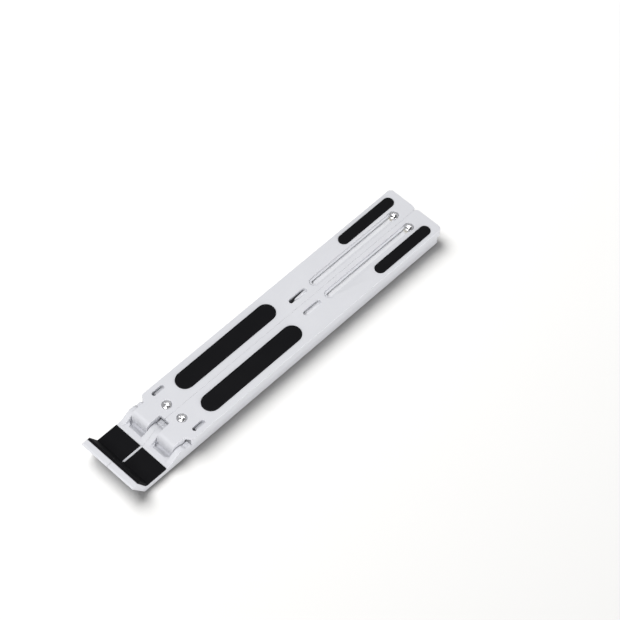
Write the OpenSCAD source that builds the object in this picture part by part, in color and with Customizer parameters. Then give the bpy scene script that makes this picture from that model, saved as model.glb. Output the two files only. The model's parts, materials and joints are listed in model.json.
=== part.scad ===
// Folding laptop stand, folded flat.
// Each half is a base arm with a hook, and an upper arm hinged to it. Two crossed flat bars
// join the halves, and a strut in each half props the upper arm on a rack in the base arm.
// +Y runs from the hooks to the far end, +X to the right half, and the feet stand on Z = 0.

/* [Overall] */
// Length from the hooks' outer edge to the far end
overall_l = 264; // [262:1:330]
// Width across both folded halves
overall_w = 44.3; // [44:0.1:56]
// Gap between the two folded halves
halves_gap = 0.1; // [0.1:0.05:0.6]

/* [Upper arm] */
// Thickness of the upper arm's plate
plate_t = 2; // [1.9:0.1:3.4]
// Thickness of the upper arm's side wall
skirt_t = 1.6; // [1.2:0.1:1.7]
// Radius of the plate's far outer corner
far_corner_r = 3; // [2:0.5:5]
// Radius of the plate's far inner corner
notch_corner_r = 2.8; // [2:0.2:4]
// Thickness of the two lugs that hold the strut's pin
lug_t = 1; // [0.8:0.1:1.2]

/* [Base arm] */
// Height of the base arm above its underside
base_h = 6.5; // [6.3:0.1:8]
// How far the base arm's side sits inside the upper arm's side
base_inset = 0.6; // [0.5:0.1:1]
// Thickness of the base arm's floor
floor_t = 1.4; // [1.2:0.1:1.6]
// Thickness of the base arm's walls
wall_t = 1.5; // [1.2:0.1:1.6]
// How much shorter the base arm's far end is
base_short = 1.5; // [0.5:0.5:4]
// Gap between the base arm's rim and the upper arm's side wall
arms_gap = 0.3; // [0.2:0.1:0.5]

/* [Hook] */
// Lean of the hook's lip from upright, in degrees
lip_lean = 30; // [20:1:36]
// Thickness of the lip's plastic
lip_t = 4.6; // [3:0.1:5]
// Height of the lip above the plate's top
lip_rise = 1.7; // [0:0.1:6]
// Height of the hook pad's surface above the base arm's underside
hook_floor_h = 5.15; // [5:0.05:6]
// Distance from the hook's outer edge to the hook pad's far edge
hook_pad_reach = 27; // [24:0.5:28]
// Thickness of the hook pad
hook_pad_t = 1.5; // [1:0.1:1.6]
// Width of each half's rim between the hook pads
pad_rim_w = 0.7; // [0.5:0.1:1.2]
// Rounding of the lip's edges
lip_edge_r = 1.2; // [0.5:0.1:1.4]

/* [Hinge] */
// Distance from the hook's outer edge to the hinge pin
hinge_front = 40; // [39:0.5:41]
// Height of the hinge pin above the base arm's underside
hinge_h = 5.4; // [5.3:0.1:5.8]
// Radius of the hinge pin
hinge_pin_r = 1.5; // [1.2:0.1:1.8]
// Radius of the hinge ears
ear_r = 4.3; // [4:0.1:4.5]
// Radius of the upper arm's hinge knuckle
knuckle_r = 3.3; // [3:0.1:3.4]
// How far the knuckle's nose reaches in front of the hinge pin
nose_reach = 4.4; // [3.8:0.1:4.5]
// Width of the outer hinge ear
outer_ear_w = 3.7; // [3:0.1:4.5]
// Width of the inner hinge ear
inner_ear_w = 3.75; // [3:0.05:4.5]
// Gap between an ear and the knuckle
ear_gap = 0.35; // [0.2:0.05:0.5]

/* [Crossed bars] */
// Distance from the hook's outer edge to the near screws
near_screw_front = 54.4; // [54:0.5:60]
// Distance from the far screws to the far end
far_screw_inset = 13.9; // [12:0.1:16]
// Distance of the screws from the middle
screw_x = 6.48; // [6:0.01:6.8]
// How far the far screws can slide towards the hooks
slide_travel = 70.8; // [60:0.1:72]
// Width of a bar
bar_w = 13; // [10:0.5:13]
// Thickness of a bar
bar_t = 1.7; // [1.2:0.1:2]
// Radius of the bosses that the screws thread into
boss_r = 3.4; // [3:0.1:3.5]
// Radius of a screw's thread
thread_r = 1.4; // [1.1:0.1:1.6]
// Radius of a screw's head
head_r = 2.95; // [2.7:0.05:3.5]
// Height of a screw's head
head_h = 1.5; // [1.2:0.1:2]
// Radius of the rivet in the middle of the bars
rivet_r = 1.6; // [1.2:0.1:2]

/* [Struts] */
// Width of a strut
strut_w = 4.8; // [4:0.1:5.4]
// Height of a strut's section
strut_h = 4; // [3:0.1:5]
// Radius of a strut's two eyes
strut_eye_r = 2.9; // [2.6:0.1:3]
// Radius of the strut's pivot pin and of its foot pin
strut_pin_r = 1.3; // [1:0.1:1.5]
// Distance from the folded strut's foot pin to the base arm's far end
strut_end_room = 14.5; // [12:0.5:20]
// Width of the valley of a rack notch
notch_w = 3; // [2.9:0.1:3.4]

/* [Pads and feet] */
// Width of a front strip
front_strip_w = 12.3; // [10:0.1:13]
// Length of a front strip
front_strip_l = 80.1; // [70:0.1:84]
// Width of a rear strip
rear_strip_w = 7.2; // [6:0.1:8]
// Length of a rear strip
rear_strip_l = 47; // [40:0.1:50]
// Thickness of the strips
strip_t = 1.4; // [1:0.1:1.8]
// Depth of the strips' seats
strip_seat = 0.6; // [0.4:0.1:0.8]
// How far the feet stand below the base arm
foot_h = 0.8; // [0.5:0.1:1.5]
// Depth of the feet's seats
foot_seat = 0.6; // [0.4:0.1:0.8]

/* [Hidden] */

$fn = 48;
cut = 1;            // how far a cutting solid runs past the face it opens
run_fit = 0.05;     // radial clearance of a pin that turns
press = 0.02;       // radial interference of a pin that holds
slide_fit = 0.1;    // clearance of the far screws in their slots
seat_fit = 0.1;     // clearance around a pad in its seat
washer_t = 0.4;
bar_gap = 0.2;      // between the two bars
washer_gap = 0.1;   // over a washer, and over a foot pin

// Heights
base_z = foot_h;
floor_z = base_z + floor_t;
scoop_floor_z = floor_z - 0.2;
rim_z = base_z + base_h;
hinge_z = base_z + hinge_h;
lower_bar_z = max(rim_z + arms_gap, hinge_z + strut_pin_r + washer_gap);   // clear of the foot pins too
upper_bar_z = lower_bar_z + bar_t + bar_gap;
bars_top_z = upper_bar_z + bar_t;
plate_z = bars_top_z + washer_t + washer_gap;
top_z = plate_z + plate_t;
boss_z = lower_bar_z - 0.8;
ear_step_z = hinge_z + 2.8;
skin_t = 1.6;       // top skin over the underside pockets, and the ribs' depth
strip_low_z = base_z + hook_floor_h - 0.35;   // plastic in front of and between the hook pads
pad_top_z = base_z + hook_floor_h;
pad_seat_z = pad_top_z - hook_pad_t;
lip_top_z = top_z + lip_rise;

// Places along the stand
front_y = -overall_l / 2;
far_y = overall_l / 2;
hinge_y = front_y + hinge_front;
near_y = front_y + near_screw_front;
far_screw_y = far_y - far_screw_inset;
base_far_y = far_y - base_short;
pad_far_y = front_y + hook_pad_reach;
ear_step_y = near_y - bar_w / 2 - 0.8;   // just in front of the bars' ends
inner_notch_y = near_y - 7.7;
outer_notch_y = near_y - 5.7;
scoop_y = hinge_y - 8.8;

// Places across one half, drawn for the right half
mid_x = halves_gap / 2;
arm_x = overall_w / 2;
base_x = arm_x - base_inset;
tongue_x0 = mid_x + inner_ear_w + ear_gap;
tongue_x1 = base_x - outer_ear_w - ear_gap;
wall_x = base_x - wall_t;
outer_lug_x = wall_x - 0.3 - lug_t;
strut_x1 = outer_lug_x - 0.3;
strut_x0 = strut_x1 - strut_w;
inner_lug_x = strut_x0 - 0.3 - lug_t;
middle_wall_x1 = inner_lug_x - 0.4;
middle_wall_x0 = middle_wall_x1 - wall_t;
window_x = arm_x - 4.75;
rib_x = screw_x + bar_w / 2 + 0.3;   // rib of the upper arm, just outside the bars' sweep

// Hook lip: every sloping face leans by lip_lean
lip_slope = tan(lip_lean);
lip_corner_y = front_y + lip_edge_r * (1 - (1 + sin(lip_lean)) / cos(lip_lean));
lip_back_y = lip_corner_y + lip_t / cos(lip_lean);
pad_lip_z = lip_top_z - 0.1;
pad_back_y = lip_back_y + (lip_top_z - pad_lip_z) * lip_slope;
pad_lip_y = pad_back_y + hook_pad_t / cos(lip_lean);
pad_foot_y = lip_back_y + (lip_top_z - pad_seat_z) * lip_slope;   // where the pad's seat meets the lip

// Strut: as long as the distance from the hinge pin to its pivot, so that its foot slides level
strut_l = (base_far_y - strut_end_room - hinge_y) / 2;
strut_y = hinge_y + strut_l;
rack_z = hinge_z - strut_pin_r - 0.15;
rack_angles = [35, 31, 27, 23, 18, 12, 0];

// Crossed bars
bar_l = norm([2 * screw_x, far_screw_y - near_y]);
bar_turn = atan(2 * screw_x / (far_screw_y - near_y));
middle_y = (near_y + far_screw_y) / 2;
counterbore = 1.1;
groove_depth = 1;
head_fit = 0.25;    // clearance around a screw's head
groove_r = head_r + head_fit;
slot_r = 1.8;
far_shoulder_r = slot_r - slide_fit;
near_shoulder_r = 1.9;
land_start = 10.8;  // from the rivet to the lower bar's thick part

// Strips and feet
front_strip_x = 11.11 + (arm_x - 22.15) / 2;
front_strip_y = near_y + 13.45;
rear_strip_x = arm_x - 6.5;
rear_strip_y = far_y - 5.75 - rear_strip_l;
foot_w = 7;
foot_l = 13;
foot_x = base_x / 2;
front_foot_y = pad_far_y - 9;
rear_foot_y = base_far_y - 12;

// Corner b of a polygon, rounded by its third number, between the corners a and c
function flat2(p) = [p[0], p[1]];
function unit(v) = v / norm(v);
function corner(a, b, c, n) = b[2] == 0 ? [flat2(b)] :
    let (p = flat2(b), u = unit(flat2(a) - p), v = unit(flat2(c) - p),
         half = acos(u * v) / 2,
         centre = p + unit(u + v) * b[2] / sin(half),
         s = p + u * b[2] / tan(half) - centre,
         e = p + v * b[2] / tan(half) - centre,
         a0 = atan2(s[1], s[0]),
         sweep = ((atan2(e[1], e[0]) - a0 + 540) % 360) - 180)
    [for (i = [0:n]) centre + b[2] * [cos(a0 + sweep * i / n), sin(a0 + sweep * i / n)]];
function rounded(pts, n = 6) = [for (i = [0:len(pts) - 1])
    each corner(pts[(i + len(pts) - 1) % len(pts)], pts[i], pts[(i + 1) % len(pts)], n)];
function box2(x0, y0, x1, y1, r) = [[x0, y0, r], [x1, y0, r], [x1, y1, r], [x0, y1, r]];

// Prisms: one standing on a plan outline, one running across X with its outline in Y and Z
module prism_z(z0, z1, pts) translate([0, 0, z0]) linear_extrude(z1 - z0) polygon(pts);
module prism_x(x0, x1, pts) translate([x0, 0, 0]) rotate([90, 0, 90]) linear_extrude(x1 - x0) polygon(pts);
module pin_x(x0, x1, y, z, r) translate([x0, y, z]) rotate([0, 90, 0]) cylinder(h = x1 - x0, r = r);
module pin_z(z0, z1, x, y, r) translate([x, y, z0]) cylinder(h = z1 - z0, r = r);

// A pill runs along Y from y0 to y1
module pill_z(z0, z1, x, y0, y1, r) prism_z(z0, z1, rounded(box2(x - r, y0, x + r, y1, r - 0.001), 12));

// Draws its child as the right half, or mirrored as the left half
module half(side) {
    if (side == "right") children();
    else mirror([1, 0, 0]) children();
}

// ---- Base arm with its hook ----
module hook_solid() {
    prism_x(mid_x, base_x, rounded([
        [front_y + lip_t / cos(lip_lean) + 3.8, base_z, 1],
        [lip_corner_y, lip_top_z, lip_edge_r],
        [lip_back_y, lip_top_z, 0.8],
        [pad_foot_y, pad_seat_z, 2.5],
        [pad_far_y, pad_seat_z, 0],
        [pad_far_y, strip_low_z, 0],
        [hinge_y, strip_low_z, 0],
        [hinge_y, base_z, 0]]));
    // rim between the two hook pads
    prism_x(mid_x, mid_x + pad_rim_w, [
        [pad_foot_y - 1, base_z + 1],
        [pad_foot_y - 0.4, strip_low_z + 0.2],
        [pad_far_y + 1, strip_low_z + 0.2],
        [pad_far_y + 1, base_z + 1]]);
}

module hinge_ear(x0, x1) {
    prism_x(x0, x1, rounded([
        [scoop_y - 3, base_z, 0],
        [scoop_y - 3, strip_low_z - 0.05, 0],
        [scoop_y - 1, strip_low_z - 0.05, 7],
        [hinge_y - 2.4, hinge_z + ear_r, 4],
        [hinge_y + ear_r, hinge_z + ear_r, ear_r - 0.1],
        [hinge_y + ear_r, base_z, 0]]));
    // low step that closes the gap between the ear and the bars
    prism_x(x0, x1, rounded([
        [hinge_y, base_z, 0],
        [hinge_y, ear_step_z, 0],
        [ear_step_y, ear_step_z, 0.5],
        [ear_step_y, base_z, 0]]));
}

module rack(x0, x1) {
    feet = [for (a = rack_angles) hinge_y + 2 * strut_l * cos(a)];
    prism_x(x0, x1, concat(
        [[feet[0] - 6, floor_z - 0.2], [feet[0] - 6, rack_z]],
        [for (y = feet) each [
            [y - notch_w / 2 - 1.2, rack_z], [y - notch_w / 2, rack_z - 1.4],
            [y + notch_w / 2, rack_z - 1.4], [y + notch_w / 2, rack_z]]],
        [[feet[len(feet) - 1] + 4, rack_z], [feet[len(feet) - 1] + 4, floor_z - 0.2]]));
}

module foot_seats(grow) for (y = [front_foot_y, rear_foot_y])
    prism_z(base_z - cut, base_z + foot_seat,
        rounded(box2(foot_x - foot_l / 2 - grow, y - foot_w / 2 - grow,
                     foot_x + foot_l / 2 + grow, y + foot_w / 2 + grow, foot_w / 2 - 0.01), 8));

module base_arm() color("whitesmoke") difference() {
    union() {
        hook_solid();
        hinge_ear(mid_x, mid_x + inner_ear_w);
        hinge_ear(base_x - outer_ear_w, base_x);
        difference() {
            prism_z(base_z, rim_z, rounded([
                [mid_x, hinge_y, 0], [base_x, hinge_y, 0],
                [base_x, base_far_y, far_corner_r], [mid_x, base_far_y, notch_corner_r]]));
            // pocket under the crossed bars, and channel for the strut
            prism_z(floor_z, rim_z + cut, rounded(box2(mid_x + wall_t, near_y - boss_r - 1.5,
                middle_wall_x0, base_far_y - wall_t, 1.2), 4));
            prism_z(floor_z, rim_z + cut, rounded(box2(middle_wall_x1, strut_y - 12,
                wall_x, base_far_y - wall_t, 1.2), 4));
            // pockets in the underside, between cross ribs
            for (i = [0:3]) let (y0 = near_y - 3, step = (strut_y - 12 - wall_t - y0) / 4)
                prism_z(base_z - cut, rim_z - skin_t, rounded(box2(middle_wall_x1, y0 + i * step,
                    wall_x, y0 + (i + 1) * step - wall_t, 1), 4));
            // windows that lighten the floor
            for (i = [0:2]) let (step = (base_far_y - near_y) / 3, y0 = near_y + 4 + i * step)
                prism_z(base_z - cut, floor_z + cut, rounded(box2(mid_x + wall_t + 1.4, y0,
                    middle_wall_x0 - 1.4, y0 + step - 22, 2), 4));
        }
        // rest block under the folded upper arm's near window
        prism_z(rim_z - 0.2, plate_z - 1,
            rounded(box2(window_x - 2, near_y + 1, window_x + 2, near_y + 10.5, 0.8), 4));
        rack(middle_wall_x1 - 0.2, strut_x0 - 0.3);
        rack(strut_x1 + 0.3, wall_x + 0.2);
    }
    // room for the knuckle, scooped out in front of it
    intersection() {
        prism_x(tongue_x0 - ear_gap, tongue_x1 + ear_gap, rounded([
            [scoop_y, lip_top_z, 0],
            [scoop_y, strip_low_z + 0.02, 0],
            [scoop_y + 3.2, floor_z + 1.3, 4],
            [hinge_y - 3.4, floor_z + 0.9, 1],
            [hinge_y - 2.4, scoop_floor_z, 0.5],
            [hinge_y + ear_r + 0.6, scoop_floor_z, 1],
            [hinge_y + ear_r + 0.6, lip_top_z, 0]], 8));
        prism_z(base_z, lip_top_z + cut, rounded([
            [tongue_x0 - ear_gap + 1.1, scoop_y - cut, 0],
            [tongue_x1 + ear_gap - 2.6, scoop_y - cut, 0],
            [tongue_x1 + ear_gap - 2.6, hinge_y - nose_reach - 3, 2.5],
            [tongue_x1 + ear_gap, hinge_y - nose_reach - 1.3, 1],
            [tongue_x1 + ear_gap, hinge_y + ear_r + 2, 0],
            [tongue_x0 - ear_gap, hinge_y + ear_r + 2, 0],
            [tongue_x0 - ear_gap, hinge_y - nose_reach - 1.3, 1],
            [tongue_x0 - ear_gap + 1.1, hinge_y - nose_reach - 2.4, 1]], 8));
    }
    pin_x(mid_x - cut, base_x - 0.9, hinge_y, hinge_z, hinge_pin_r - press);
    foot_seats(seat_fit);
}

module hook_pad() color("dimgray") {
    y_top = pad_lip_y + (pad_lip_z - pad_top_z) * lip_slope;
    // the floor stops short of the rim in the middle, the lip reaches right across
    difference() {
        prism_x(mid_x + 0.15, base_x - 0.1, rounded([
            [pad_back_y, pad_lip_z, 0.2],
            [pad_foot_y, pad_seat_z, 2.5],
            [pad_far_y - seat_fit, pad_seat_z, 0],
            [pad_far_y - seat_fit, pad_top_z, 0.3],
            [y_top, pad_top_z, 1.4],
            [pad_lip_y, pad_lip_z, 0.4]]));
        translate([mid_x - cut, pad_foot_y - 2.5, base_z])
            cube([pad_rim_w + seat_fit + cut, pad_far_y - pad_foot_y + 3.5, pad_top_z - base_z]);
    }
}

module hinge_pin() color("silver")
    pin_x(mid_x + 0.3, base_x - 1, hinge_y, hinge_z, hinge_pin_r);

module foot(y) color("dimgray") prism_z(0, base_z + foot_seat,
    rounded(box2(foot_x - foot_l / 2, y - foot_w / 2, foot_x + foot_l / 2, y + foot_w / 2,
                 foot_w / 2 - 0.01), 8));

// ---- Upper arm ----
module plate_outline_prism(z0, z1) prism_z(z0, z1, rounded([
    [mid_x, inner_notch_y, 0.8],
    [tongue_x0, inner_notch_y, 0.8],
    [tongue_x0, hinge_y, 0],
    [tongue_x1, hinge_y, 0],
    [tongue_x1, outer_notch_y - 2.8, 2],
    [arm_x, outer_notch_y, 1.4],
    [arm_x, far_y, far_corner_r],
    [mid_x, far_y, notch_corner_r]]));

module tongue() prism_x(tongue_x0, tongue_x1, rounded([
    [hinge_y - nose_reach, hinge_z - knuckle_r, knuckle_r - 0.01],
    [hinge_y - nose_reach, top_z, 4],
    [near_y - bar_w / 2 - 0.4, top_z, 0],
    [near_y - bar_w / 2 - 0.4, plate_z - 0.5, 0],
    [hinge_y + knuckle_r + 1, hinge_z + 1.6, 1.5],
    [hinge_y + knuckle_r, hinge_z - knuckle_r, knuckle_r - 0.01]], 8));

module lug(x0) prism_x(x0, x0 + lug_t, rounded([
    [strut_y - 2.6, hinge_z - 2.6, 2.5],
    [strut_y - 6, plate_z + 0.3, 0],
    [strut_y + 6, plate_z + 0.3, 0],
    [strut_y + 2.6, hinge_z - 2.6, 2.5]]));

module upper_arm() color("whitesmoke") difference() {
    union() {
        plate_outline_prism(plate_z, top_z);
        difference() {
            plate_outline_prism(lower_bar_z, plate_z + 0.5);
            translate([mid_x - cut, hinge_y - cut, lower_bar_z - cut])
                cube([arm_x - skirt_t - mid_x + cut, far_y - skirt_t - hinge_y + cut, plate_z - lower_bar_z + 2 * cut]);
        }
        tongue();
        // a long rib above the strut, and short ones across to the side wall
        translate([rib_x, near_y, plate_z - skin_t]) cube([lug_t, far_y - near_y - skirt_t + 0.2, skin_t + 0.2]);
        for (i = [0:8]) translate([rib_x, near_y + 14 + i * (far_y - near_y - 24) / 8, plate_z - skin_t])
            cube([arm_x - skirt_t - rib_x + 0.2, lug_t, skin_t + 0.2]);
        lug(inner_lug_x);
        lug(outer_lug_x);
    }
    pin_x(tongue_x0 - cut, tongue_x1 + cut, hinge_y, hinge_z, hinge_pin_r + run_fit);
    for (x = [inner_lug_x, outer_lug_x])
        pin_x(x - 0.1, x + lug_t + 0.1, strut_y, hinge_z, strut_pin_r - press);
    // near screw, and the groove that the far screw slides in
    pin_z(top_z - counterbore, top_z + cut, screw_x, near_y, head_r + head_fit);
    pin_z(plate_z - cut, top_z + cut, screw_x, near_y, near_shoulder_r + run_fit);
    pill_z(top_z - groove_depth, top_z + cut, screw_x, far_screw_y - slide_travel - groove_r,
        far_screw_y + groove_r, groove_r);
    pill_z(plate_z - cut, top_z + cut, screw_x, far_screw_y - slide_travel - slot_r,
        far_screw_y + slot_r, slot_r);
    // moulding windows
    pill_z(plate_z - cut, top_z + cut, screw_x - 0.3, middle_y + 5, middle_y + 19.4, 1.8);
    pill_z(plate_z - cut, top_z + cut, window_x, near_y - 1.6, near_y + 8, 1.55);
    // seats of the strips
    pill_z(top_z - strip_seat, top_z + cut, front_strip_x, front_strip_y - seat_fit,
        front_strip_y + front_strip_l + seat_fit, front_strip_w / 2 + seat_fit);
    pill_z(top_z - strip_seat, top_z + cut, rear_strip_x, rear_strip_y - seat_fit,
        rear_strip_y + rear_strip_l + seat_fit, rear_strip_w / 2 + seat_fit);
}

module front_strip() color("dimgray") pill_z(top_z - strip_seat, top_z - strip_seat + strip_t,
    front_strip_x, front_strip_y, front_strip_y + front_strip_l, front_strip_w / 2);

module rear_strip() color("dimgray") pill_z(top_z - strip_seat, top_z - strip_seat + strip_t,
    rear_strip_x, rear_strip_y, rear_strip_y + rear_strip_l, rear_strip_w / 2);

// ---- Strut ----
module strut() color("gainsboro") {
    foot_y = strut_y + strut_l;
    difference() {
        union() {
            translate([strut_x0, strut_y, hinge_z - strut_h / 2]) cube([strut_w, strut_l, strut_h]);
            for (y = [strut_y, foot_y]) pin_x(strut_x0, strut_x1, y, hinge_z, strut_eye_r);
        }
        pin_x(strut_x0 - cut, strut_x1 + cut, strut_y, hinge_z, strut_pin_r + run_fit);
        pin_x(strut_x0 - cut, strut_x1 + cut, foot_y, hinge_z, strut_pin_r - press);
        // shallow channels along both sides
        for (x = [strut_x0 - cut, strut_x1 - 1.2])
            prism_x(x, x + 1.2 + cut, rounded(box2(strut_y + 6, hinge_z - strut_h / 2 + 0.9,
                foot_y - 6, hinge_z + strut_h / 2 - 0.9, 0.9), 4));
    }
}

module strut_pin() color("silver")
    pin_x(inner_lug_x, outer_lug_x + lug_t, strut_y, hinge_z, strut_pin_r);

module foot_pin() color("silver")
    pin_x(middle_wall_x1 + 0.3, wall_x - 0.3, strut_y + strut_l, hinge_z, strut_pin_r);

// ---- Crossed bars ----
// A bar is drawn from the left near screw to the right far screw
module along_bar() translate([-screw_x, near_y, 0]) rotate([0, 0, -bar_turn]) children();

module bar_holes(z0, rivet_hole_r) {
    for (y = [0, bar_l]) pin_z(z0, bars_top_z + cut, 0, y, thread_r - press);
    pin_z(z0, bars_top_z + cut, 0, bar_l / 2, rivet_hole_r);
}

module bar_outline(z0, z1, r) pill_z(z0, z1, 0, -r, bar_l + r, r);

module upper_bar() color("lightgray") along_bar() difference() {
    union() {
        bar_outline(upper_bar_z, bars_top_z, bar_w / 2);
        for (y = [0, bar_l]) pin_z(boss_z, upper_bar_z + 0.2, 0, y, boss_r);
    }
    bar_holes(boss_z - cut, rivet_r - press);
}

// the lower bar thickens beyond the crossing, where the upper bar leaves room under the slot
module lower_bar_land() difference() {
    intersection() {
        bar_outline(lower_bar_z + 0.2, bars_top_z, bar_w / 2);
        translate([-bar_w, bar_l / 2 + land_start, lower_bar_z]) cube([2 * bar_w, bar_l, bars_top_z - lower_bar_z + cut]);
    }
    translate([0, bar_l / 2, 0]) rotate([0, 0, 2 * bar_turn]) translate([0, -bar_l / 2, 0])
        bar_outline(lower_bar_z + bar_t, bars_top_z + cut, bar_w / 2 + bar_gap);
}

module lower_bar() color("lightgray") mirror([1, 0, 0]) along_bar() difference() {
    union() {
        bar_outline(lower_bar_z, lower_bar_z + bar_t, bar_w / 2);
        lower_bar_land();
        for (y = [0, bar_l]) pin_z(boss_z, bars_top_z, 0, y, boss_r);
    }
    bar_holes(boss_z - cut, rivet_r + run_fit);
    translate([0, bar_l / 2, lower_bar_z - 0.01]) cylinder(h = 1.06, r1 = rivet_r + 1.5, r2 = rivet_r + run_fit);
}

module bar_rivet() color("silver") translate([0, middle_y, 0]) {
    pin_z(lower_bar_z + 0.2, bars_top_z + 0.05, 0, 0, rivet_r);
    pin_z(bars_top_z, bars_top_z + washer_t, 0, 0, rivet_r + 1.6);
    translate([0, 0, lower_bar_z + 0.1]) cylinder(h = 0.8, r1 = rivet_r + 1.2, r2 = rivet_r);
}

module washer(x, y, r) difference() {
    pin_z(bars_top_z, bars_top_z + washer_t, x, y, boss_r);
    pin_z(bars_top_z - cut, bars_top_z + washer_t + cut, x, y, r + run_fit);
}

module bar_washers(side) color("ivory") {
    washer(side * screw_x, near_y, near_shoulder_r);
    washer(-side * screw_x, far_screw_y, far_shoulder_r);
}

// Pan head with a cross recess, on a shoulder that turns in the plate
module screw(x, y, head_z, shoulder_r) color("silver") translate([x, y, 0]) difference() {
    union() {
        translate([0, 0, head_z]) rotate_extrude($fn = 64) polygon(concat(
            [[0, 0], [head_r - 0.15, 0], [head_r, 0.15]],
            [for (a = [0:15:90]) [head_r - head_h * 0.9 + head_h * 0.9 * cos(a), head_h * (0.3 + 0.7 * sin(a))]],
            [[0, head_h]]));
        pin_z(bars_top_z, head_z + 0.2, 0, 0, shoulder_r);
        pin_z(boss_z + 0.2, bars_top_z + 0.1, 0, 0, thread_r);
    }
    for (a = [0, 90]) rotate([0, 0, a])
        translate([-1.7, -0.42, head_z + head_h - 0.9]) cube([3.4, 0.84, 0.9 + cut]);
}

module near_screw() screw(screw_x, near_y, top_z - counterbore + run_fit, near_shoulder_r);
module far_screw() screw(screw_x, far_screw_y, top_z - groove_depth + slide_fit, far_shoulder_r);

half("left") base_arm();  // base_arm_left
half("right") base_arm();  // base_arm_right
half("left") hook_pad();  // hook_pad_left
half("right") hook_pad();  // hook_pad_right
half("left") foot(front_foot_y);  // front_foot_left
half("right") foot(front_foot_y);  // front_foot_right
half("left") foot(rear_foot_y);  // rear_foot_left
half("right") foot(rear_foot_y);  // rear_foot_right
half("left") hinge_pin();  // hinge_pin_left
half("right") hinge_pin();  // hinge_pin_right
half("left") upper_arm();  // upper_arm_left
half("right") upper_arm();  // upper_arm_right
half("left") front_strip();  // front_strip_left
half("right") front_strip();  // front_strip_right
half("left") rear_strip();  // rear_strip_left
half("right") rear_strip();  // rear_strip_right
half("left") strut();  // strut_left
half("right") strut();  // strut_right
half("left") strut_pin();  // strut_pin_left
half("right") strut_pin();  // strut_pin_right
half("left") foot_pin();  // foot_pin_left
half("right") foot_pin();  // foot_pin_right
upper_bar();
lower_bar();
bar_rivet();
bar_washers(-1);  // upper_bar_washers
bar_washers(1);  // lower_bar_washers
half("left") near_screw();  // near_screw_left
half("right") near_screw();  // near_screw_right
half("left") far_screw();  // far_screw_left
half("right") far_screw();  // far_screw_right
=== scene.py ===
import json
import math
import bmesh
import bpy
from mathutils import Matrix, Vector


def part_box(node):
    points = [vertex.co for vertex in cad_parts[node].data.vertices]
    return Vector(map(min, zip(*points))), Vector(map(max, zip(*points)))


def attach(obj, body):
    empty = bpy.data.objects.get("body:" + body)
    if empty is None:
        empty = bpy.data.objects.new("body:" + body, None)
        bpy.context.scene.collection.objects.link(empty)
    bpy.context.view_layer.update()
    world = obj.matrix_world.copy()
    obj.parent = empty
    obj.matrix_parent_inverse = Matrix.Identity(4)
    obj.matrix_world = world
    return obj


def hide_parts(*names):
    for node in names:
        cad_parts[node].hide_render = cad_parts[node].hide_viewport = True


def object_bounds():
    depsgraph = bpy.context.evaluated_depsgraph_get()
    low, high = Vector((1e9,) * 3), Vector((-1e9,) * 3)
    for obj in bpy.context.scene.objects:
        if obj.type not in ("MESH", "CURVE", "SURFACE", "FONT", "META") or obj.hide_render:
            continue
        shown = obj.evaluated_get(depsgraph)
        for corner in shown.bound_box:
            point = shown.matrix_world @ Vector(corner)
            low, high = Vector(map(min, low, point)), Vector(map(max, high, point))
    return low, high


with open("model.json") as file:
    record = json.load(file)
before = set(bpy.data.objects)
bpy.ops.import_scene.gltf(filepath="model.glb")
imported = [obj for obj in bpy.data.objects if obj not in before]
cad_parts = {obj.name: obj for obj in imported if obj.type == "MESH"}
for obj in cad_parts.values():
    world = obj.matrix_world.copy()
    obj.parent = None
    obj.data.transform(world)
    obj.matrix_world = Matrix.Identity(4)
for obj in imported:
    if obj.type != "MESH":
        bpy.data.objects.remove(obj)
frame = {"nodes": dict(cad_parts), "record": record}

cadBox = [list(corner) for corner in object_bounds()]
print("frame loaded:", len(frame["nodes"]), "nodes")

# ---- camera ----
camera = {
    "target": (0.00655, 0.0302, 0.0137),
    "azimuth": 44.47,
    "elevation": 55.64,
    "distance": 1.4597,
    "lens": 139.35,
}


def buildCamera(c):
    az, el = math.radians(c["azimuth"]), math.radians(c["elevation"])
    back = Vector((math.sin(az) * math.cos(el), -math.cos(az) * math.cos(el), math.sin(el)))
    data = bpy.data.cameras.new("camera")
    data.lens = c["lens"]
    data.sensor_width = 36
    data.clip_start = 0.05
    ob = bpy.data.objects.new("camera", data)
    bpy.context.collection.objects.link(ob)
    ob.location = Vector(c["target"]) + back * c["distance"]
    ob.rotation_euler = back.to_track_quat("Z", "Y").to_euler()
    bpy.context.scene.camera = ob


buildCamera(camera)
print("camera placed")


# ---- node helpers ----
def newGroup(name, inputs, outputs):
    group = bpy.data.node_groups.new(name, "ShaderNodeTree")
    for label, value in inputs:
        socket = group.interface.new_socket(name=label, in_out="INPUT", socket_type="NodeSocketFloat")
        socket.default_value = value
    for label, kind in outputs:
        group.interface.new_socket(name=label, in_out="OUTPUT", socket_type=kind)
    return group, group.nodes.new("NodeGroupInput"), group.nodes.new("NodeGroupOutput")


def addMath(tree, operation, a, b=None, clamp=False):
    node = tree.nodes.new("ShaderNodeMath")
    node.operation = operation
    node.use_clamp = clamp
    for i, value in enumerate((a, b)):
        if value is None:
            continue
        if isinstance(value, (int, float)):
            node.inputs[i].default_value = value
        else:
            tree.links.new(value, node.inputs[i])
    return node.outputs[0]


def addNoise(tree, vector, scale, detail=2.0, rough=0.5):
    node = tree.nodes.new("ShaderNodeTexNoise")
    node.inputs["Detail"].default_value = detail
    node.inputs["Roughness"].default_value = rough
    if isinstance(scale, (int, float)):
        node.inputs["Scale"].default_value = scale
    else:
        tree.links.new(scale, node.inputs["Scale"])
    tree.links.new(vector, node.inputs["Vector"])
    return node.outputs["Fac"]


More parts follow.
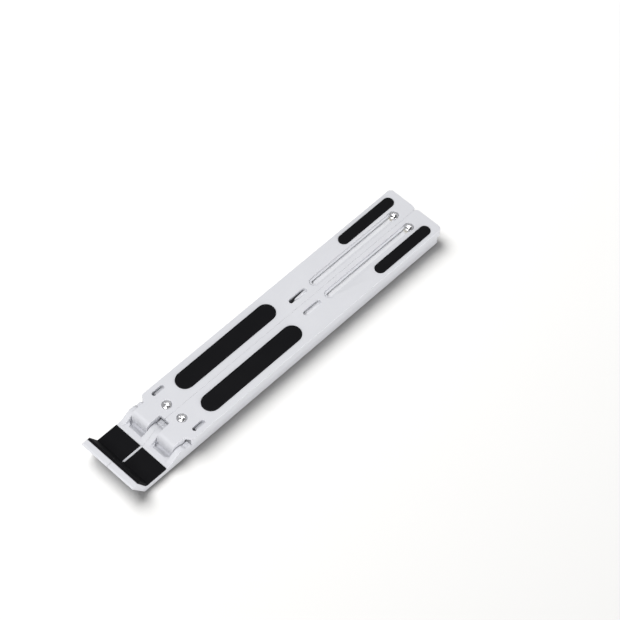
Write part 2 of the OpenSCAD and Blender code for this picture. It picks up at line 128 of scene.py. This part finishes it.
def addRange(tree, value, low, high, outLow=0.0, outHigh=1.0):
    node = tree.nodes.new("ShaderNodeMapRange")
    for i, v in enumerate((low, high, outLow, outHigh)):
        node.inputs[i + 1].default_value = v
    tree.links.new(value, node.inputs[0])
    return node.outputs[0]


def addMix(tree, factor, a, b):
    node = tree.nodes.new("ShaderNodeMix")
    node.data_type = "RGBA"
    tree.links.new(factor, node.inputs["Factor"])
    for value, socket in ((a, node.inputs["A"]), (b, node.inputs["B"])):
        if isinstance(value, tuple):
            socket.default_value = (*value, 1)
        else:
            tree.links.new(value, socket)
    return node.outputs["Result"]


def objectPlace(tree):
    return tree.nodes.new("ShaderNodeTexCoord").outputs["Object"]


# fine spark-eroded texture that a mould leaves, as a height and a speckle
def buildMouldGrain():
    group, inn, out = newGroup("mouldGrain",
        [("Grains per metre", 2600.0), ("Coarse share", 0.35)],
        [("Height", "NodeSocketFloat"), ("Speckle", "NodeSocketFloat")])
    place = objectPlace(group)
    fine = addNoise(group, place, inn.outputs["Grains per metre"], 3.0, 0.6)
    wide = addNoise(group, place, addMath(group, "MULTIPLY", inn.outputs["Grains per metre"], 0.21), 2.0)
    coarse = addMath(group, "MULTIPLY", wide, inn.outputs["Coarse share"])
    group.links.new(addMath(group, "ADD", fine, coarse), out.inputs["Height"])
    group.links.new(addRange(group, fine, 0.38, 0.66), out.inputs["Speckle"])
    return group


# mask that is 1 along outer edges, where hands and shelves wear the surface; the lighter colour it lays
# there is partly that wear and partly a painted highlight for light catching the rounded edges
def buildEdgeWearAndHighlightMask():
    group, inn, out = newGroup("edgeWearAndHighlightMask",
        [("Radius", 0.0005), ("Patchiness", 0.5)],
        [("Mask", "NodeSocketFloat")])
    bevel = group.nodes.new("ShaderNodeBevel")
    bevel.samples = 6
    group.links.new(inn.outputs["Radius"], bevel.inputs["Radius"])
    dot = group.nodes.new("ShaderNodeVectorMath")
    dot.operation = "DOT_PRODUCT"
    group.links.new(bevel.outputs["Normal"], dot.inputs[0])
    group.links.new(group.nodes.new("ShaderNodeNewGeometry").outputs["True Normal"], dot.inputs[1])
    turn = addRange(group, dot.outputs["Value"], 0.995, 0.86)
    patch = addRange(group, addNoise(group, objectPlace(group), 420.0, 3.0), 0.35, 0.6)
    keep = addMath(group, "MULTIPLY", addMath(group, "SUBTRACT", patch, 1.0), inn.outputs["Patchiness"])
    group.links.new(addMath(group, "MULTIPLY", turn, addMath(group, "ADD", keep, 1.0), True),
        out.inputs["Mask"])
    return group


# slow change of tone over centimetres, and faint smudges from fingers
def buildHandling():
    group, inn, out = newGroup("handling",
        [("Smudge size", 60.0), ("Streak length", 6.0)],
        [("Tone", "NodeSocketFloat"), ("Smudge", "NodeSocketFloat"), ("Streak", "NodeSocketFloat")])
    place = objectPlace(group)
    group.links.new(addNoise(group, place, 16.0, 1.0), out.inputs["Tone"])
    smudge = addNoise(group, place, inn.outputs["Smudge size"], 4.0, 0.62)
    group.links.new(addRange(group, smudge, 0.45, 0.72), out.inputs["Smudge"])
    squeeze = group.nodes.new("ShaderNodeMapping")
    squeeze.inputs["Scale"].default_value = (1, 0.04, 1)
    group.links.new(place, squeeze.inputs["Vector"])
    dense = addMath(group, "MULTIPLY", inn.outputs["Streak length"], 220.0)
    group.links.new(addRange(group, addNoise(group, squeeze.outputs["Vector"], dense, 2.0), 0.6, 0.75),
        out.inputs["Streak"])
    return group


mouldGrain = buildMouldGrain()
edgeWearAndHighlightMask = buildEdgeWearAndHighlightMask()
handling = buildHandling()


def useGroup(tree, group, **values):
    node = tree.nodes.new("ShaderNodeGroup")
    node.node_tree = group
    for label, value in values.items():
        node.inputs[label.replace("_", " ")].default_value = value
    return node.outputs


def newMaterial(name, finish):
    material = bpy.data.materials.new(name)
    material.use_nodes = True
    tree = material.node_tree
    shader = tree.nodes["Principled BSDF"]
    shader.inputs["IOR"].default_value = finish.get("ior", 1.5)
    shader.inputs["Specular IOR Level"].default_value = finish.get("specular", 0.5)
    grain = useGroup(tree, mouldGrain, Grains_per_metre=finish["grains"],
        Coarse_share=finish.get("coarse", 0.35))
    rub = useGroup(tree, edgeWearAndHighlightMask, Radius=finish["edgeMaskRadius"], Patchiness=finish["patchiness"])
    hands = useGroup(tree, handling, Smudge_size=finish.get("smudgeSize", 60.0),
        Streak_length=finish.get("streaks", 6.0))
    tint = addMix(tree, hands["Tone"], finish["colour"], finish["colourTwo"])
    tint = addMix(tree, addMath(tree, "MULTIPLY", grain["Speckle"], finish["speckle"]),
        tint, finish["speckleColour"])
    tint = addMix(tree, addMath(tree, "MULTIPLY", hands["Streak"], finish["streak"]),
        tint, finish["wearAndHighlightColour"])
    # edges lightened: partly wear, partly a painted highlight along the rounded edges
    tint = addMix(tree, addMath(tree, "MULTIPLY", rub["Mask"], finish["rub"]),
        tint, finish["wearAndHighlightColour"])
    tree.links.new(tint, shader.inputs["Base Color"])
    rough = addRange(tree, hands["Smudge"], 0.0, 1.0, finish["rough"], finish["roughTwo"])
    shine = addMath(tree, "MULTIPLY", rub["Mask"], finish["rubShine"])
    tree.links.new(addMath(tree, "SUBTRACT", rough, shine, True), shader.inputs["Roughness"])
    bump = tree.nodes.new("ShaderNodeBump")
    bump.inputs["Strength"].default_value = finish["bump"]
    bump.inputs["Distance"].default_value = finish["bumpDepth"]
    tree.links.new(grain["Height"], bump.inputs["Height"])
    tree.links.new(bump.outputs["Normal"], shader.inputs["Normal"])
    shader.inputs["Metallic"].default_value = finish.get("metal", 0.0)
    return material


whiteAbs = newMaterial("whiteAbs", {
    "colour": (0.668, 0.674, 0.708), "colourTwo": (0.682, 0.688, 0.722),
    "speckle": 0.05, "speckleColour": (0.60, 0.61, 0.65),
    "rub": 0.35, "wearAndHighlightColour": (0.80, 0.805, 0.83), "rubShine": 0.10, "streak": 0.10,
    "edgeMaskRadius": 0.0005, "patchiness": 0.4, "grains": 2600.0,
    "rough": 0.46, "roughTwo": 0.40, "bump": 0.12, "bumpDepth": 0.00006, "specular": 0.45})
# the same white plastic as the arms, painted lighter so bars and struts seen down the slots and windows are
# not lost in shade
innerPlasticPaintedLighter = newMaterial("innerPlasticPaintedLighter", {
    "colour": (0.780, 0.785, 0.815), "colourTwo": (0.800, 0.805, 0.830),
    "speckle": 0.08, "speckleColour": (0.55, 0.56, 0.60),
    "rub": 0.3, "wearAndHighlightColour": (0.85, 0.855, 0.87), "rubShine": 0.08, "streak": 0.2,
    "edgeMaskRadius": 0.0004, "patchiness": 0.5, "grains": 2200.0,
    "rough": 0.42, "roughTwo": 0.36, "bump": 0.10, "bumpDepth": 0.00006, "specular": 0.45})
# the lighter edge colour of the black pads is a painted highlight on their bevelled edges
blackSilicone = newMaterial("blackSilicone", {
    "colour": (0.0036, 0.0036, 0.0046), "colourTwo": (0.0046, 0.0046, 0.0056),
    "speckle": 0.35, "speckleColour": (0.0085, 0.0085, 0.0100),
    "rub": 0.5, "wearAndHighlightColour": (0.030, 0.030, 0.034), "rubShine": 0.05, "streak": 0.05,
    "edgeMaskRadius": 0.0004, "patchiness": 0.3, "grains": 3600.0, "coarse": 0.6,
    "rough": 0.74, "roughTwo": 0.64, "bump": 0.25, "bumpDepth": 0.00008,
    "ior": 1.41, "specular": 0.14})
footRubber = newMaterial("footRubber", {
    "colour": (0.016, 0.016, 0.017), "colourTwo": (0.021, 0.021, 0.022),
    "speckle": 0.4, "speckleColour": (0.034, 0.033, 0.032),
    "rub": 0.6, "wearAndHighlightColour": (0.06, 0.058, 0.055), "rubShine": -0.06, "streak": 0.1,
    "edgeMaskRadius": 0.0005, "patchiness": 0.4, "grains": 2400.0, "coarse": 0.8,
    "rough": 0.82, "roughTwo": 0.74, "bump": 0.35, "bumpDepth": 0.0001, "specular": 0.3})
chromedSteel = newMaterial("chromedSteel", {
    "colour": (0.80, 0.80, 0.82), "colourTwo": (0.84, 0.84, 0.85),
    "speckle": 0.06, "speckleColour": (0.62, 0.62, 0.65),
    "rub": 0.3, "wearAndHighlightColour": (0.90, 0.90, 0.91), "rubShine": 0.03, "streak": 0.05,
    "edgeMaskRadius": 0.0002, "patchiness": 0.4, "grains": 4200.0,
    "rough": 0.17, "roughTwo": 0.24, "bump": 0.05, "bumpDepth": 0.00003, "metal": 1.0})
groundSteel = newMaterial("groundSteel", {
    "colour": (0.56, 0.56, 0.57), "colourTwo": (0.62, 0.62, 0.63),
    "speckle": 0.15, "speckleColour": (0.42, 0.41, 0.40),
    "rub": 0.4, "wearAndHighlightColour": (0.72, 0.72, 0.72), "rubShine": 0.06, "streak": 0.3,
    "edgeMaskRadius": 0.0003, "patchiness": 0.5, "grains": 3200.0,
    "rough": 0.30, "roughTwo": 0.40, "bump": 0.10, "bumpDepth": 0.00004, "metal": 1.0})
washerNylon = newMaterial("washerNylon", {
    "colour": (0.64, 0.62, 0.56), "colourTwo": (0.68, 0.66, 0.60),
    "speckle": 0.1, "speckleColour": (0.54, 0.52, 0.46),
    "rub": 0.3, "wearAndHighlightColour": (0.74, 0.72, 0.66), "rubShine": 0.05, "streak": 0.1,
    "edgeMaskRadius": 0.0002, "patchiness": 0.5, "grains": 2600.0,
    "rough": 0.45, "roughTwo": 0.38, "bump": 0.08, "bumpDepth": 0.00005})
print("materials ready")

bodyOf = {node: body for body, nodes in frame["record"]["behaviour"]["bodies"].items() for node in nodes}


def pieceName(node):
    first, *rest = node.split("_")
    return first + "".join(word.capitalize() for word in rest)


def finishPiece(mesh, node, material, smoothAngle=35):
    mesh.materials.clear()
    mesh.materials.append(material)
    mesh.polygons.foreach_set("use_smooth", [True] * len(mesh.polygons))
    mesh.set_sharp_from_angle(angle=math.radians(smoothAngle))
    piece = bpy.data.objects.new(pieceName(node), mesh)
    bpy.context.collection.objects.link(piece)
    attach(piece, bodyOf[node])
    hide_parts(node)
    return piece


rounding = {
    "weld": 4e-6,            # points closer than this are one point
    "weldAfter": 3e-6,
    "shortEdge": 2e-6,
    "flatAngle": 0.4,        # degrees, faces flatter than this merge
    "sharpTurn": 28,         # degrees, the least turn that is rounded
    "narrowCorner": 28,      # degrees, edges that meet at less leave no room
    "roomFactor": 1.2,
    "faceWeight": 100,
}


# an outer edge can be rounded where its faces leave room for it
def hasRoom(e, edge):
    middle = (e.verts[0].co + e.verts[1].co) / 2
    for face in e.link_faces:
        for other in face.edges:
            if other is e:
                continue
            a, b = other.verts[0].co, other.verts[1].co
            shared = [v for v in other.verts if v in e.verts]
            if shared:
                u = e.other_vert(shared[0]).co - shared[0].co
                v = other.other_vert(shared[0]).co - shared[0].co
                if u.length > 0 and v.length > 0 and u.angle(v) < math.radians(rounding["narrowCorner"]):
                    return False
                continue
            along = b - a
            t = max(0.0, min(1.0, (middle - a).dot(along) / max(along.length_squared, 1e-18)))
            if (a + along * t - middle).length < edge * rounding["roomFactor"]:
                return False
    return True


# where the halves close on each other their edges stay crisp, but for the hooks' lips
def onSeam(e):
    return (max(abs(v.co.x) for v in e.verts) < seam["reach"]
        and max(v.co.y for v in e.verts) > cadBox[0][1] + seam["lipLength"])


# a moulded or pressed piece: the exact outline with its sharp outer edges rounded over
def roundedPiece(node, material, edge, steps):
    mesh = bpy.data.objects[node].data.copy()
    mesh.name = pieceName(node)
    bm = bmesh.new()
    bm.from_mesh(mesh)
    bmesh.ops.remove_doubles(bm, verts=bm.verts, dist=rounding["weld"])
    bmesh.ops.dissolve_limit(bm, angle_limit=math.radians(rounding["flatAngle"]),
        verts=bm.verts, edges=bm.edges)
    sharp = [e for e in bm.edges if e.is_manifold and e.is_convex
        and e.calc_face_angle(0) > math.radians(rounding["sharpTurn"])
        and not onSeam(e) and hasRoom(e, edge)]
    bmesh.ops.bevel(bm, geom=sharp, offset=edge, offset_type="OFFSET", segments=steps, profile=0.5,
        affect="EDGES", clamp_overlap=False, miter_outer="ARC", loop_slide=True)
    bmesh.ops.remove_doubles(bm, verts=bm.verts, dist=rounding["weldAfter"])
    bmesh.ops.dissolve_degenerate(bm, dist=rounding["shortEdge"], edges=bm.edges)
    bmesh.ops.recalc_face_normals(bm, faces=bm.faces)
    bm.normal_update()
    bm.to_mesh(mesh)
    bm.free()
    piece = finishPiece(mesh, node, material)
    weights = piece.modifiers.new("flatFaces", "WEIGHTED_NORMAL")
    weights.keep_sharp = True
    weights.weight = rounding["faceWeight"]
    return piece


sides = ("left", "right")
seam = {"reach": 0.0002, "lipLength": 0.0075}

arms = {"edge": 0.00030, "steps": 2}
for side in sides:
    roundedPiece("base_arm_" + side, whiteAbs, arms["edge"], arms["steps"])
    roundedPiece("upper_arm_" + side, whiteAbs, arms["edge"], arms["steps"])
print("arms done")

bars = {"edge": 0.00025, "steps": 2}
# bars and struts take the plastic painted lighter against the shade in the slots
for node in ("upper_bar", "lower_bar", "strut_left", "strut_right"):
    roundedPiece(node, innerPlasticPaintedLighter, bars["edge"], bars["steps"])
print("bars and struts done")

pads = {"edge": 0.00032, "steps": 3}
for side in sides:
    for node in ("hook_pad_", "front_strip_", "rear_strip_"):
        roundedPiece(node + side, blackSilicone, pads["edge"], pads["steps"])
    for node in ("front_foot_", "rear_foot_"):
        roundedPiece(node + side, footRubber, pads["edge"], pads["steps"])
print("pads, strips and feet done")

# ---- screws ----
screw = {
    "headRadius": 0.00295,
    "headHeight": 0.0015,
    "rimHeight": 0.0004,
    "domeTop": 0.0003,        # radius where the dome turns into the flat crown
    "segments": 96,
    "wingLength": 0.00195,    # from the axis to the tip of a wing, at the crown
    "wingWidth": 0.00095,
    "wingFoot": 0.00115,      # the same two at the recess's floor
    "footWidth": 0.00055,
    "recessDepth": 0.0009,
    "threadPitch": 0.0005,
    "threadDepth": 0.00022,
    "shoulder": {"near": 0.0019, "far": 0.0017},
    "threadRadius": 0.0014,
}


def screwProfile(s, kind, crown, tip):
    head = crown - s["headHeight"]
    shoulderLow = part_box("upper_bar")[1][2]
    points = [(0.0, crown)]
    lift = s["headHeight"] - s["rimHeight"]
    points.append((s["domeTop"] * 0.6, crown - 0.00001))
    for i in range(11):
        a = math.radians(90 - i * 9)
        points.append((s["domeTop"] + (s["headRadius"] - s["domeTop"]) * math.cos(a),
            head + s["rimHeight"] + lift * math.sin(a)))
    for i in range(1, 5):
        a = math.radians(i * 22.5)
        points.append((s["headRadius"] - 0.00015 * (1 - math.cos(a)), head + 0.00015 * (1 - math.sin(a))))
    points.append((s["shoulder"][kind] + 0.0001, head))
    points.append((s["shoulder"][kind], head - 0.0001))
    points.append((s["shoulder"][kind], shoulderLow))
    r = s["threadRadius"]
    z = shoulderLow
    points.append((r - s["threadDepth"], z))
    while z > tip + s["threadPitch"] * 1.2:
        points.append((r - s["threadDepth"], z - 0.3 * s["threadPitch"]))
        points.append((r, z - 0.65 * s["threadPitch"]))
        z -= s["threadPitch"]
        points.append((r - s["threadDepth"], z))
    points.append((r - s["threadDepth"], tip))
    points.append((0.0, tip))
    return points


def latheMesh(name, profile, centre, segments):
    bm = bmesh.new()
    rings = []
    for r, z in profile:
        if r < 1e-9:
            rings.append([bm.verts.new((centre[0], centre[1], z))])
        else:
            rings.append([bm.verts.new((centre[0] + r * math.cos(2 * math.pi * i / segments),
                centre[1] + r * math.sin(2 * math.pi * i / segments), z)) for i in range(segments)])
    for a, b in zip(rings, rings[1:]):
        for i in range(segments):
            j = (i + 1) % segments
            loop = [a[i % len(a)], a[j % len(a)], b[j % len(b)], b[i % len(b)]]
            bm.faces.new(list(dict.fromkeys(loop)))
    bmesh.ops.recalc_face_normals(bm, faces=bm.faces)
    mesh = bpy.data.meshes.new(name)
    bm.to_mesh(mesh)
    bm.free()
    return mesh


# one wing of the recess runs from tip to tip, tapering down to the floor
def crossCutter(s, centre, crown, turn):
    bm = bmesh.new()
    above = 0.0004
    slope = (s["wingLength"] - s["wingFoot"]) / s["recessDepth"]
    widen = (s["wingWidth"] - s["footWidth"]) / s["recessDepth"]
    levels = ((-s["recessDepth"], s["wingFoot"], s["footWidth"]),
        (above, s["wingLength"] + slope * above, s["wingWidth"] + widen * above))
    for quarter in (0, 90):
        spin = Matrix.Rotation(math.radians(turn + quarter), 3, "Z")
        drop = 0.00001 if quarter else 0.0
        corners = []
        for z, length, width in levels:
            half = width / 2
            for x, y in ((-length, -half), (length, -half), (length, half), (-length, half)):
                p = spin @ Vector((x, y, 0))
                corners.append(bm.verts.new((centre[0] + p.x, centre[1] + p.y, crown + z - drop)))
        low, high = corners[:4], corners[4:]
        bm.faces.new(low[::-1])
        bm.faces.new(high)
        for i in range(4):
            j = (i + 1) % 4
            bm.faces.new((low[i], low[j], high[j], high[i]))
    mesh = bpy.data.meshes.new("crossCutter")
    bm.to_mesh(mesh)
    bm.free()
    return mesh


def cutMesh(mesh, cutter):
    body = bpy.data.objects.new("cutBody", mesh)
    tool = bpy.data.objects.new("cutTool", cutter)
    for ob in (body, tool):
        bpy.context.collection.objects.link(ob)
    cut = body.modifiers.new("cut", "BOOLEAN")
    cut.operation = "DIFFERENCE"
    cut.solver = "EXACT"
    cut.use_self = True
    cut.object = tool
    result = bpy.data.meshes.new_from_object(body.evaluated_get(bpy.context.evaluated_depsgraph_get()))
    for ob in (body, tool):
        bpy.data.objects.remove(ob)
    return result


def buildScrew(kind, side, turn):
    node = kind + "_screw_" + side
    low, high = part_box(node)
    centre = ((low[0] + high[0]) / 2, (low[1] + high[1]) / 2)
    solid = latheMesh(pieceName(node), screwProfile(screw, kind, high[2], low[2]), centre, screw["segments"])
    mesh = cutMesh(solid, crossCutter(screw, centre, high[2], turn))
    mesh.name = pieceName(node)
    finishPiece(mesh, node, chromedSteel, 32)


screwTurns = {("near", "left"): 12, ("near", "right"): 30, ("far", "left"): 52, ("far", "right"): 40}
for (kind, side), turn in screwTurns.items():
    buildScrew(kind, side, turn)
print("screws done")

# ---- pins, rivet and washers keep their exact solids ----
kept = {"hinge_pin_left": groundSteel, "hinge_pin_right": groundSteel, "strut_pin_left": groundSteel,
    "strut_pin_right": groundSteel, "foot_pin_left": groundSteel, "foot_pin_right": groundSteel,
    "bar_rivet": groundSteel, "upper_bar_washers": washerNylon, "lower_bar_washers": washerNylon}
for node, material in kept.items():
    ob = bpy.data.objects[node]
    ob.data.materials.clear()
    ob.data.materials.append(material)
print("pins and washers done")

# ---- floor and studio light ----
studio = {
    "floorSize": 12.0,
    "floorColour": (0.60, 0.597, 0.59),
    "floorGlow": 0.02,
    "skyLow": 0.44,
    "skyHigh": 0.10,
    "skyFade": (0.62, 0.86),   # where the sky turns from low to high
    # one light falls on the floor alone and casts the shadow, the others on the stand alone
    "floorKey": {"place": (-1.02, -0.10, 1.95), "size": 1.8, "power": 92.0},
    "standKey": {"place": (-0.96, 0.99, 1.97), "size": 0.7, "power": 9.0},
    "softbox": {"place": (0.0, -1.55, 2.15), "size": 2.0, "power": 55.0},
    "fill": {"place": (2.4, 0.1, 0.4), "size": 1.4, "power": 26.0},
}


def buildFloor(s):
    mesh = bpy.data.meshes.new("floor")
    h = s["floorSize"] / 2
    mesh.from_pydata([(-h, -h, 0), (h, -h, 0), (h, h, 0), (-h, h, 0)], [], [(0, 1, 2, 3)])
    floor = bpy.data.objects.new("floor", mesh)
    bpy.context.collection.objects.link(floor)
    material = bpy.data.materials.new("paperFloor")
    material.use_nodes = True
    tree = material.node_tree
    shader = tree.nodes["Principled BSDF"]
    shader.inputs["Roughness"].default_value = 0.9
    shader.inputs["Specular IOR Level"].default_value = 0.1
    tone = addNoise(tree, objectPlace(tree), 6.0)
    tree.links.new(addMix(tree, tone, s["floorColour"], tuple(0.99 * c for c in s["floorColour"])),
        shader.inputs["Base Color"])
    shader.inputs["Emission Color"].default_value = (1, 1, 1, 1)
    shader.inputs["Emission Strength"].default_value = s["floorGlow"]
    floor.data.materials.append(material)
    return floor


def buildLight(name, lamp, floor, onFloor):
    data = bpy.data.lights.new(name, "AREA")
    data.shape = "DISK"
    data.size = lamp["size"]
    data.energy = lamp["power"]
    ob = bpy.data.objects.new(name, data)
    bpy.context.collection.objects.link(ob)
    ob.location = lamp["place"]
    ob.rotation_euler = Vector(lamp["place"]).to_track_quat("Z", "Y").to_euler()
    reach = bpy.data.collections.new(name + "Reach")
    reach.objects.link(floor)
    reach.collection_objects[0].light_linking.link_state = "INCLUDE" if onFloor else "EXCLUDE"
    ob.light_linking.receiver_collection = reach


floor = buildFloor(studio)
for name in ("floorKey", "standKey", "softbox", "fill"):
    buildLight(name, studio[name], floor, name == "floorKey")


# bright around the sides and darker overhead, so metal has something to mirror
def buildSky(s):
    world = bpy.data.worlds.new("studioWorld")
    bpy.context.scene.world = world
    world.use_nodes = True
    tree = world.node_tree
    split = tree.nodes.new("ShaderNodeSeparateXYZ")
    tree.links.new(tree.nodes.new("ShaderNodeTexCoord").outputs["Generated"], split.inputs["Vector"])
    shade = addRange(tree, split.outputs["Z"], *s["skyFade"], s["skyLow"], s["skyHigh"])
    tree.links.new(shade, tree.nodes["Background"].inputs["Strength"])
    tree.nodes["Background"].inputs["Color"].default_value = (1, 1, 1, 1)


buildSky(studio)
bpy.context.scene.view_settings.view_transform = "Standard"
print("studio ready")
